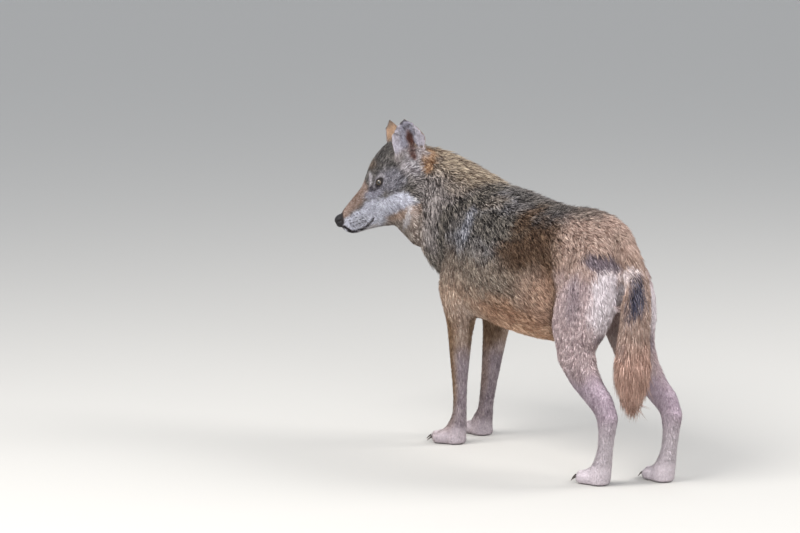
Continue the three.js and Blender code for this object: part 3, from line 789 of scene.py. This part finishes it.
    # The pale throat under the jaw: partly its own colour, partly painted light.
    face("throat_and_painted_light", fade(-104, -118, u) * fade(70, 30, a))
    face("chin", fade(-97, -103, u) * fade(50, 70, a))
    face("neck_pale", fade(-52, -72, a) * fade(20, -20, u))
    face("ink", 0.8 * spot(place, (-54, -58), (9, 16)))
    face("chin", 0.85 * spot(np.stack([a + 0.8 * (u + 112), u], 1), (-14, -112), (7, 32)))
    paint("ear_front", (head + neck) * spot(place, (-84, -2), (28, 25)) * fade(34, 50, s))
    paint("ginger", (head + neck) * behind_ear(np.stack([a, s, u], 1)))
    streak = to_line(a, u, [(17, 20), (31, -5)])
    face("brow", 0.9 * fade(6, 3, streak) * fade(12, 20, s))
    tear = to_line(a, u, [(8, -8), (32, -16)])
    face("tear", 0.9 * fade(10, 5, tear))
    lip = to_line(a, u, MOUTH) / mix(3.0, 5.2, fade(118, 132, a))
    face("lip", np.maximum(side_on, fade(120, 130, a)) * fade(1, 0.5, lip))
    paint("rim", fade(1.24, 1.08, from_nose(points)))
    for side in (1, -1):
        ring, distance = eye_ring(points, side)
        near = (distance < 3 * EYE_RADIUS) * fade(-0.2, 0.2, side * q[:, 1] / 20)
        height = (points - eye_centre(side)) @ eye_axes(side)[2]
        pale_ring = fade(2.7, 2.3, ring) * fade(1.6, 1.9, ring) * fade(-6, 2, height)
        face("brow", near * pale_ring * 0.85)
        paint("rim", near * fade(1.8, 1.4, ring))
    # Ears
    for k, (_, open_side, _, _) in EARS.items():
        up, across, _ = on_ear(fine, k)
        inside = part[k] * fade(-0.1, 0.35, normals @ open_side)
        paint("ear_back", part[k])
        paint("ink", part[k] * 0.5 * fade(34, 48, up))
        # The inside of each ear: partly its own grey fur, partly painted shade, darker as if shaded in the
        # hollow.
        paint("ear_in_and_painted_shade", inside)
        speck = fade(0.12, 0.28, noise(points, 4.5, 11 + k)) * fade(-8, 20, up)
        paint("tear", inside * 0.85 * speck)
        slit = np.stack([across - 4 + 0.1 * up, up], 1)
        paint("ear_slit", inside * spot(slit, (0, -18), (9, 38)))
        paint("white", inside * 0.3 * fade(15, 22, np.abs(across)))
    # The bowl at the root of each ear
    bowl = (head + neck) * in_bowl(q)
    paint("ear_front", bowl * 0.9)
    paint("ear_slit", bowl * fade(9, 5, to_line(a, u, EAR_HOLE)))
    # The crown reaches back between the ears.
    paint("neck_top", head * fade(-80, -110, a) * fade(20, 50, u) * fade(40, 26, s))
    return shade


# ---- Everything the tufts need, at each point of the skin ----
depth, length, width, density = coat(points, normals, share)
room = np.array([OWNER_TREE.find_nearest(p)[3] for p in points.tolist()]) - OVERLAP
room = relaxed(room[:, None], edges, 6)[:, 0]
depth = np.clip(room, 0.7 * depth, 1.7 * depth + 2)
on_head = head_place(points)
short = behind_ear(on_head) * (share[:, HEAD] + share[:, NECK])
depth, length = mix(depth, np.minimum(depth, 6), short), mix(length, 13, short)
short = in_bowl(on_head) * (share[:, HEAD] + share[:, NECK])
depth, length = mix(depth, 2.5, short), mix(length, 6, short)
way = lie(points, normals, share)
way = unit(relaxed(way, edges, 10))
colours = relaxed(markings_and_painted_light(points, normals, share), edges, 1)
bare = np.zeros(len(points))
for side in (1, -1):
    ring, distance = eye_ring(points, side)
    bare = np.maximum(bare, (distance < 2.4 * EYE_RADIUS) * fade(1.9, 1.5, ring))
bare = np.maximum(bare, fade(1.25, 1.0, from_nose(points)))
bare = np.maximum(bare, fade(3.5, 2.5, points[:, 2]))
density = density * (1 - bare)
calm = fade(0.78, 0.9, colours[:, 0])  # the white of the seat is one even colour
on_saddle = share[:, TRUNK] * fade(510, 600, points[:, 2]) * fade(170, 80, points[:, 1])
contrast = (blend_parts(share, CONTRAST) + 0.6 * on_saddle) * (1 - 0.7 * calm)
fields = np.column_stack([way, normals, depth, length, width, colours, contrast, share])

# ---- Roots ----
SQUARE_CM = 100


def along_curve(points):
    """An order in which near points come near one another."""
    cell = ((points - points.min(0)) / 2.0).astype(np.int64)
    key = np.zeros(len(points), np.int64)
    for bit in range(10):
        for axis in range(3):
            key |= ((cell[:, axis] >> bit) & 1) << (3 * bit + axis)
    return np.argsort(key, kind="stable")


def scatter(points, triangles, density):
    """Evenly spread roots: the triangle of each, and its share of that triangle's corners."""
    a, b, c = (points[triangles[:, k]] for k in range(3))
    area = np.linalg.norm(np.cross(b - a, c - a), axis=1) / 2
    wanted = area / SQUARE_CM * density[triangles].mean(1)
    order = along_curve((a + b + c) / 3)
    total = np.floor(np.cumsum(wanted[order]) + RNG.random())
    number = np.diff(total, prepend=0).astype(int)
    chosen = np.repeat(order, number)
    r1, r2 = np.sqrt(RNG.random(len(chosen))), RNG.random(len(chosen))
    return chosen, np.column_stack([1 - r1, r1 * (1 - r2), r1 * r2])


chosen, corner = scatter(points, triangles, density)
at = (fields[triangles[chosen]] * corner[:, :, None]).sum(1)
root = (points[triangles[chosen]] * corner[:, :, None]).sum(1)
COUNT = len(root)
way, up = unit(at[:, 0:3]), unit(at[:, 3:6])
way = unit(way - up * dot(way, up))
across = np.cross(up, way)
depth, length, width = at[:, 6], at[:, 7], at[:, 8]
shades = at[:, 9:18].reshape(-1, 3, 3)
contrast = at[:, 18]
share_at = at[:, 19:]

# ---- Tufts ----
TURN = math.radians(11)
spin = RNG.normal(0, TURN, COUNT)[:, None]
way = way * np.cos(spin) + across * np.sin(spin)
across = np.cross(up, way)
length = length * np.clip(RNG.normal(1, 0.22, COUNT), 0.5, 1.5)
width = width * np.clip(RNG.normal(1, 0.25, COUNT), 0.5, 1.6)
rise = depth * np.clip(RNG.normal(0.86, 0.16, COUNT), 0.35, 1.2)


def landed(place, height):
    """Points moved to lie at a height over the skin."""
    made = np.empty_like(place)
    for i, (p, h) in enumerate(zip(place.tolist(), height.tolist())):
        hit, normal, _, _ = SKIN_TREE.find_nearest(p)
        made[i] = hit + normal * h
    return made


reach = np.sqrt(np.maximum(length**2 - rise**2, (0.5 * length) ** 2))
tip = landed(root + way * reach[:, None], rise)
long_hair = length > 19
bend = np.zeros_like(root)
halfway = root + way * 0.45 * reach[:, None]
bend[long_hair] = landed(halfway[long_hair], 0.66 * rise[long_hair])
# The tail's hair hangs straight instead of following the skin.
in_tail = share_at[:, TAIL:TAIL + 1]
hanging = in_tail * fade(450, 400, root[:, 2:3])
tip = mix(tip, root + way * 0.9 * reach[:, None] + up * 0.75 * rise[:, None], hanging)
bend = mix(bend, root + way * 0.42 * reach[:, None] + up * 0.55 * rise[:, None], hanging)

# Locks: the tips of near tufts draw together.
guides = np.flatnonzero(RNG.random(COUNT) < np.where(long_hair, 0.16, 0.14))
tree = KDTree(len(guides))
for k, p in enumerate(root[guides].tolist()):
    tree.insert(p, k)
tree.balance()
mine = guides[[tree.find(p)[1] for p in root.tolist()]]
draw = mix(0.55, 0.2, in_tail[:, 0]) * fade(8, 30, length)
draw = draw * np.clip(RNG.normal(1, 0.3, COUNT), 0, 1.5)
draw = (draw * fade(16, 7, np.linalg.norm(root - root[mine], axis=1)))[:, None]
tip = tip + draw * (tip[mine] - tip)
bend = bend + 0.45 * draw * np.where(long_hair[mine][:, None], bend[mine] - bend, 0)
tip[:, 2] = np.maximum(tip[:, 2], 0.4)

lock_tone = RNG.normal(0, 1, COUNT)[mine]
tone = contrast * (0.6 * lock_tone + 1.1 * RNG.normal(0, 1, COUNT) + 0.7 * noise(root, 16, 21))


def toned(tone):
    """The usual colour moved towards the dark or the light shade."""
    darker, lighter = np.clip(-tone, 0, 1.5)[:, None], np.clip(tone, 0, 1.6)[:, None]
    usual, dark, light = shades[:, 0], shades[:, 1], shades[:, 2]
    seen = usual + darker * (dark - usual) + lighter * (light - usual)
    return np.clip(seen, 0.06, 0.97) ** GAMMA


# Dark spots: the whisker rows of the muzzle, and specks along the top of the ears.
WHISKER_ROWS, WHISKER_STEP = (-54, -63, -72, -81), 9
middle_at = head_place(mix(root, tip, 0.6))
dark_spot = np.zeros(COUNT)
for row, level in enumerate(WHISKER_ROWS):
    for column in range(5):
        ahead = 124 - WHISKER_STEP * column - 3 * (row % 2)
        above = level + 0.06 * (ahead - 100)
        away = np.hypot(middle_at[:, 0] - ahead, middle_at[:, 2] - above)
        dark_spot = np.maximum(dark_spot, fade(2.9, 1.9, away) * (share_at[:, HEAD] > 0.5))
for part in EARS:
    upper = fade(-8, 20, on_ear(root, part)[0]) * share_at[:, part]
    speck = fade(0.15, 0.3, noise(root, 4.5, 11 + part))
    dark_spot = np.maximum(dark_spot, 0.6 * upper * speck)
keep = (1 - 0.85 * dark_spot)[:, None]

banded = RNG.random(COUNT) < 0.45
# Each tuft is darker at its root: partly the undercoat's own colour, partly painted shade near the skin.
single_tones = [toned(0.7 * tone - 0.35), toned(tone + contrast * np.where(banded, -0.6, 0.35))]
double_tones = [
    toned(0.4 * tone - 0.75),
    toned(tone + 0.1),
    toned(contrast * np.where(banded, -1.2, 0.9) + 0.45 * tone),
]

THICK = 0.32  # a tuft's height over its width
PATCH = 0.003
SHORT_FACES = np.array([[0, 3, 2], [2, 3, 1], [1, 3, 0]])
SIDES = np.array([[0, 3, 5], [0, 5, 2], [2, 5, 4], [2, 4, 1], [1, 4, 3], [1, 3, 0]])
LONG_FACES = np.vstack([SIDES, SHORT_FACES + 3])
BASE, BEND, TIP = [[0, 0], [1, 0], [0.5, 0.1]], [[0.2, 0.5], [0.8, 0.5], [0.5, 0.55]], [[0.5, 1]]
SHORT_PATCH = np.array(BASE + TIP) * PATCH
LONG_PATCH = np.array(BASE + BEND + TIP) * PATCH

sideways = across * (width / 2)[:, None]
roll = RNG.normal(0, 0.45, COUNT)[:, None]
sideways = sideways * np.cos(roll) + up * np.linalg.norm(sideways, axis=1, keepdims=True) * np.sin(roll)
crown = up * (width * THICK)[:, None]
sunk = root - up * 0.6


def tuft_mesh(name, members, unwrap):
    """One mesh from many tufts: a long tuft has a bend, and a short one is straight."""
    all_points, all_faces, all_colours, all_uv, count = [], [], [], [], 0
    for is_long in (True, False):
        i = members[long_hair[members] == is_long]
        if not len(i):
            continue
        rings = [sunk[i] - sideways[i], sunk[i] + sideways[i], sunk[i] + crown[i]]
        *lower, last = [tone[i] * keep[i] for tone in (double_tones if is_long else single_tones)]
        faces, patch = SHORT_FACES, SHORT_PATCH
        if is_long:
            rings += [bend[i] - sideways[i] * 0.9, bend[i] + sideways[i] * 0.9, bend[i] + crown[i]]
            faces, patch = LONG_FACES, LONG_PATCH
        rings.append(tip[i])
        tones = [tone for tone in lower for _ in range(3)] + [last]
        corners = np.stack(rings, 1)
        size = corners.shape[1]
        start = count + np.arange(len(i)) * size
        all_points.append(corners.reshape(-1, 3))
        all_faces.append((faces[None] + start[:, None, None]).reshape(-1, 3))
        all_colours.append(np.stack(tones, 1).reshape(-1, 3))
        all_uv.append((unwrap[np.searchsorted(members, i)][:, None] + patch[None]).reshape(-1, 2))
        count += corners.shape[0] * size
    mesh = mesh_of(name, np.vstack(all_points), np.vstack(all_faces))
    put_colours(mesh, np.vstack(all_colours))
    layer = mesh.uv_layers.new(name="OFBake")
    layer.data.foreach_set("uv", np.vstack(all_uv)[np.vstack(all_faces).ravel()].astype(np.float32).ravel())
    return mesh


def put_colours(mesh, rgb):
    layer = mesh.color_attributes.new("Coat", "FLOAT_COLOR", "POINT")
    layer.data.foreach_set("color", np.column_stack([rgb, np.ones(len(rgb))]).astype(np.float32).ravel())
    mesh.attributes.active_color = layer


def unwrapped(p):
    """The skin's own shape laid flat: round the part's long axis, and along it."""
    away = p - p.mean(0)
    spread = np.linalg.svd(away[:: max(1, len(away) // 4000)], full_matrices=False)[2]
    along = away @ spread[0]
    angle = np.arctan2(away @ spread[2], away @ spread[1])
    u = 0.02 + 0.95 * (angle + math.pi) / (2 * math.pi)
    v = 0.02 + 0.95 * (along - along.min()) / np.ptp(along)
    return np.column_stack([u, v])


# ---- Materials ----
def set_inputs(node, values):
    for name, value in values.items():
        node.inputs[name].default_value = value


def material(name, roughness, specular=0.5, coat_weight=0.0):
    made = bpy.data.materials.new(name)
    made.use_nodes = True
    shader = made.node_tree.nodes["Principled BSDF"]
    set_inputs(shader, {
        "Roughness": roughness, "Specular IOR Level": specular,
        "Coat Weight": coat_weight, "Coat Roughness": 0.04,
    })
    return made, made.node_tree, shader


def textured(tree, kind, values):
    """A texture that follows the object's own place."""
    place = tree.nodes.new("ShaderNodeTexCoord")
    texture = tree.nodes.new(kind)
    set_inputs(texture, values)
    tree.links.new(place.outputs["Object"], texture.inputs["Vector"])
    return texture


def varied(tree, scale, detail=3.0):
    return textured(tree, "ShaderNodeTexNoise", {"Scale": scale, "Detail": detail}).outputs["Fac"]


def ranged(tree, value, low, high):
    made = tree.nodes.new("ShaderNodeMapRange")
    set_inputs(made, {"From Min": 0.25, "From Max": 0.75, "To Min": low, "To Max": high})
    tree.links.new(value, made.inputs["Value"])
    return made.outputs["Result"]


def bumped(tree, shader, value, strength, distance):
    bump = tree.nodes.new("ShaderNodeBump")
    set_inputs(bump, {"Strength": strength, "Distance": distance})
    tree.links.new(value, bump.inputs["Height"])
    tree.links.new(bump.outputs["Normal"], shader.inputs["Normal"])


def roughened(tree, shader, scale, low, high):
    tree.links.new(ranged(tree, varied(tree, scale), low, high), shader.inputs["Roughness"])


def painted(tree, shader, scale, low, high):
    """Base colour from the painted coat, a little lighter and darker from place to place."""
    paint = tree.nodes.new("ShaderNodeVertexColor")
    paint.layer_name = "Coat"
    scaled = tree.nodes.new("ShaderNodeVectorMath")
    scaled.operation = "SCALE"
    tree.links.new(paint.outputs["Color"], scaled.inputs[0])
    tree.links.new(ranged(tree, varied(tree, scale), low, high), scaled.inputs["Scale"])
    tree.links.new(scaled.outputs["Vector"], shader.inputs["Base Color"])


HAIR, tree, shader = material("hair", 0.62, 0.25)
painted(tree, shader, 260, 0.86, 1.14)
roughened(tree, shader, 90, 0.52, 0.78)
bumped(tree, shader, varied(tree, 900, 2), 0.25, 0.0004)

HIDE, tree, shader = material("hide", 0.7, 0.2)
painted(tree, shader, 320, 0.8, 1.15)
roughened(tree, shader, 120, 0.55, 0.85)
bumped(tree, shader, varied(tree, 700, 4), 0.6, 0.0008)

LEATHER, tree, shader = material("nose_leather", 0.5, 0.25)
set_inputs(shader, {"Base Color": (0.012, 0.010, 0.011, 1)})
cells = textured(tree, "ShaderNodeTexVoronoi", {"Scale": 850})
bumped(tree, shader, cells.outputs["Distance"], 0.5, 0.0005)
roughened(tree, shader, 150, 0.42, 0.62)

EYE, tree, shader = material("eye_wet", 0.15, 0.4, 0.6)
painted(tree, shader, 900, 0.85, 1.15)

HORN, tree, shader = material("claw_horn", 0.4, 0.5)
ramp = tree.nodes.new("ShaderNodeValToRGB")
ramp.color_ramp.elements[0].color = (0.018, 0.014, 0.012, 1)
ramp.color_ramp.elements[1].color = (0.09, 0.07, 0.055, 1)
tree.links.new(varied(tree, 160), ramp.inputs["Fac"])
tree.links.new(ramp.outputs["Color"], shader.inputs["Base Color"])
bumped(tree, shader, varied(tree, 600), 0.3, 0.0003)


def add_piece(name, mesh, look, stands_for=()):
    thing = shown(name, mesh)
    mesh.materials.append(look)
    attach(thing, "root")
    if stands_for:
        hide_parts(*stands_for)


# ---- Skin and coat ----
put_colours(skin, mix(colours[:, 0:3], colours[:, 3:6], 0.35) ** GAMMA)
add_piece("skin", skin, HIDE, FLESH)

owner = share_at.argmax(1)
WHOLE_PARTS = {
    "head": HEAD, "ear_left": EAR_L, "ear_right": EAR_R, "tail": TAIL, "foreleg_left": LEG_FL,
    "foreleg_right": LEG_FR, "hindleg_left": LEG_HL, "hindleg_right": LEG_HR,
}
GROUPS = {name: owner == part for name, part in WHOLE_PARTS.items()}
TRUNK_PARTS = {"fore": (-1e9, -40), "mid": (-40, 190), "rear": (190, 1e9)}
left_side = root[:, 0] > MIDPLANE
for name, side in (("left", left_side), ("right", ~left_side)):
    GROUPS["neck_" + name] = (owner == NECK) & side
    for third, (low, high) in TRUNK_PARTS.items():
        within = (root[:, 1] >= low) & (root[:, 1] < high)
        GROUPS[f"trunk_{name}_{third}"] = (owner == TRUNK) & side & within
for name, chosen_tufts in GROUPS.items():
    members = np.flatnonzero(chosen_tufts)
    mesh = tuft_mesh("coat_" + name, members, unwrapped(root[members]))
    add_piece("coat_" + name, mesh, HAIR)

# ---- Eyes ----
PUPIL, IRIS, LIMBUS = 20, 36, 41  # degrees from the eye's axis
CORNEA_BULGE = 0.7
EYE_RINGS, EYE_SECTORS = 100, 64


def eyeball(side):
    out, inner, above = eye_axes(side)
    centre = eye_centre(side)
    tilt = math.pi * np.linspace(0, 1, EYE_RINGS + 1) ** 1.35
    turn = 2 * math.pi * np.arange(EYE_SECTORS) / EYE_SECTORS
    t, p = (g.ravel() for g in np.meshgrid(tilt, turn, indexing="ij"))
    degrees = np.degrees(t)
    radius = EYE_RADIUS + CORNEA_BULGE * fade(IRIS + 4, 8, degrees)
    ray = np.stack([np.cos(t), np.sin(t) * np.cos(p), np.sin(t) * np.sin(p)], 1)
    ray = ray @ np.array([out, inner, above])
    here = np.arange(EYE_RINGS * EYE_SECTORS)
    column = here % EYE_SECTORS
    beside = here - column + (column + 1) % EYE_SECTORS
    faces = np.column_stack([here, here + EYE_SECTORS, beside + EYE_SECTORS, beside])
    if np.dot(np.cross(inner, above), out) < 0:
        faces = faces[:, ::-1]
    streak = noise(np.column_stack([p * 5, degrees * 0.06, degrees * 0]), 0.35, 5)[:, None]
    amber = linear((70, 58, 42)) * (1 + 0.3 * streak)
    edge = degrees[:, None]
    iris = mix(amber, linear((92, 78, 58)), fade(IRIS - 16, IRIS - 4, edge) * 0.5)
    colour = mix(np.array([[0.004] * 3]), iris, fade(PUPIL - 1, PUPIL + 1, edge))
    colour = mix(colour, linear((26, 18, 16)), fade(IRIS - 3, IRIS + 1, edge))
    colour = mix(colour, linear((96, 78, 70)), fade(LIMBUS, LIMBUS + 8, edge))
    mesh = mesh_of("eyeball", centre + ray * radius[:, None], faces)
    put_colours(mesh, np.clip(colour, 0.003, 0.9))
    return mesh


for side, node in ((1, "eye_left"), (-1, "eye_right")):
    add_piece("eyeball_" + node[4:], eyeball(side), EYE, [node])

# ---- Nose ----
NOSE_VOXEL = 0.8
nose = remeshed(mesh_of("nose_pad", *welded("nose")), NOSE_VOXEL)
points, edges = points_of(nose), edges_of(nose)
points = relaxed(points, edges, 60, 0.5, 0.95)
normals = normals_of(points, triangles_of(nose))
q = head_place(points)
a, s, u = q[:, 0], np.abs(q[:, 1]), q[:, 2]
NOSTRIL = [(7.5, -53.5), (10.0, -50.5), (14.0, -49.0), (18.0, -50.5)]  # from the middle outwards, and up
nostril = to_line(s, u, NOSTRIL)
dent = 3.0 * np.exp(-((nostril / 2.3) ** 2)) * fade(138, 146, a + 0.35 * s)
dent = dent + 1.2 * np.exp(-((s / 1.1) ** 2)) * fade(-50, -58, u) * fade(140, 146, a)
points = points - normals * dent[:, None]
put_points(nose, points)
nose.polygons.foreach_set("use_smooth", np.ones(len(nose.polygons), bool))
nose.update()
add_piece("nose_pad", nose, LEATHER, ["nose"])

# ---- Claws ----
claw_nodes = sorted(n for n in NODES if n.startswith("claw"))
claw_points, claw_triangles, _ = join_nodes(claw_nodes, 0)
claws = shown("claws_work", mesh_of("claws", claw_points, claw_triangles))
rounded = claws.modifiers.new("round", "SUBSURF")
rounded.levels = rounded.render_levels = 2
ready = claws.evaluated_get(bpy.context.evaluated_depsgraph_get())
claw_mesh = bpy.data.meshes.new_from_object(ready)
bpy.data.objects.remove(claws)
add_piece("claws", claw_mesh, HORN, claw_nodes)

# ---- Whiskers ----
WHISKERS = 22


def whisker_mesh():
    roots, tips = [], []
    for side in (1, -1):
        for k in range(WHISKERS):
            row, column = k % 4, k // 4
            ahead, level = 128 - 8.5 * column - 3 * (row % 2), -62 - 5.2 * row
            start = Vector(HEAD_ORIGIN + from_head(ahead, 80 * side, level))
            hit = SKIN_TREE.ray_cast(start, Vector(from_head(0, -side, 0)))[0]
            if hit is None:
                continue
            way = from_head(-0.75 + 0.08 * column, 0.55 * side, -0.25 - 0.1 * row)
            way = unit(way + RNG.normal(0, 0.08, 3))
            size = 26 + 5 * column + RNG.normal(0, 3)
            roots.append(np.array(hit))
            tips.append(np.array(hit) + way * size)
    roots, tips = np.array(roots), np.array(tips)
    way = unit(tips - roots)
    across = unit(np.cross(way, HEAD_AXES[2]))
    above = np.cross(across, way)
    rings = []
    for t, radius in ((0, 0.34), (0.35, 0.28), (0.7, 0.18)):
        sag = HEAD_AXES[2] * (-9.0 * t * t)
        for k in range(3):
            angle = 2 * math.pi * k / 3
            out = across * math.cos(angle) + above * math.sin(angle)
            rings.append(mix(roots, tips, t) + sag + radius * out)
    rings.append(tips - HEAD_AXES[2] * 9.0)
    corners = np.stack(rings, 1)
    faces = []
    for level in range(2):
        for k in range(3):
            a, b = level * 3 + k, level * 3 + (k + 1) % 3
            faces += [[a, a + 3, b + 3], [a, b + 3, b]]
    faces += [[6 + k, 9, 6 + (k + 1) % 3] for k in range(3)]
    faces = np.array(faces)[None] + (np.arange(len(roots)) * 10)[:, None, None]
    return mesh_of("whiskers", corners.reshape(-1, 3), faces.reshape(-1, 3))


whiskers = whisker_mesh()
put_colours(whiskers, np.repeat(linear((90, 84, 82))[None], len(whiskers.vertices), 0))
add_piece("whiskers", whiskers, HAIR)

# ---- Floor, light and camera ----
FLOOR_HALF = 70.0
floor_mesh = bpy.data.meshes.new("floor")
corners = [(x * FLOOR_HALF, y * FLOOR_HALF, 0) for x, y in ((-1, -1), (1, -1), (1, 1), (-1, 1))]
floor_mesh.from_pydata(corners, [], [(0, 1, 2, 3)])
floor = shown("floor", floor_mesh)
pale, tree, shader = material("floor_pale", 0.85, 0.2)
set_inputs(shader, {"Base Color": (0.50, 0.485, 0.46, 1)})
floor_mesh.materials.append(pale)


def pointed(name, data, at, look):
    """A light or a camera at a place, looking along a direction."""
    thing = shown(name, data)
    thing.location = at
    thing.rotation_mode = "QUATERNION"
    thing.rotation_quaternion = look.to_track_quat("-Z", "Y")
    return thing


AIM = Vector((0, 0, 0.45))
LIGHTS = [
    ("key", (3.6, 0.6, 4.2), 3.0, 300, (1.0, 0.98, 0.95)),
    ("fill", (2.5, 5.5, 1.4), 3.5, 260, (0.95, 0.97, 1.0)),
    ("far_side", (-4.2, 2.6, 4.2), 2.5, 240, (1.0, 0.98, 0.96)),
]
for name, at, size, power, colour in LIGHTS:
    lamp = bpy.data.lights.new(name, "AREA")
    lamp.shape, lamp.size, lamp.energy, lamp.color = "SQUARE", size, power, colour
    pointed(name, lamp, at, AIM - Vector(at))

world = bpy.data.worlds.new("studio")
world.use_nodes = True
set_inputs(world.node_tree.nodes["Background"], {"Color": (0.80, 0.84, 0.90, 1), "Strength": 0.9})
scene = bpy.context.scene
scene.world = world
scene.view_settings.view_transform = "Standard"

CAMERA_AT = Vector((4.652, 6.627, 1.580))
CAMERA_LOOK = Vector((-0.5409, -0.8306, -0.1328))
camera_data = bpy.data.cameras.new("camera")
camera_data.sensor_width = 36
camera_data.lens = 142.29
camera_data.clip_end = 100
scene.camera = pointed("camera", camera_data, CAMERA_AT, CAMERA_LOOK)
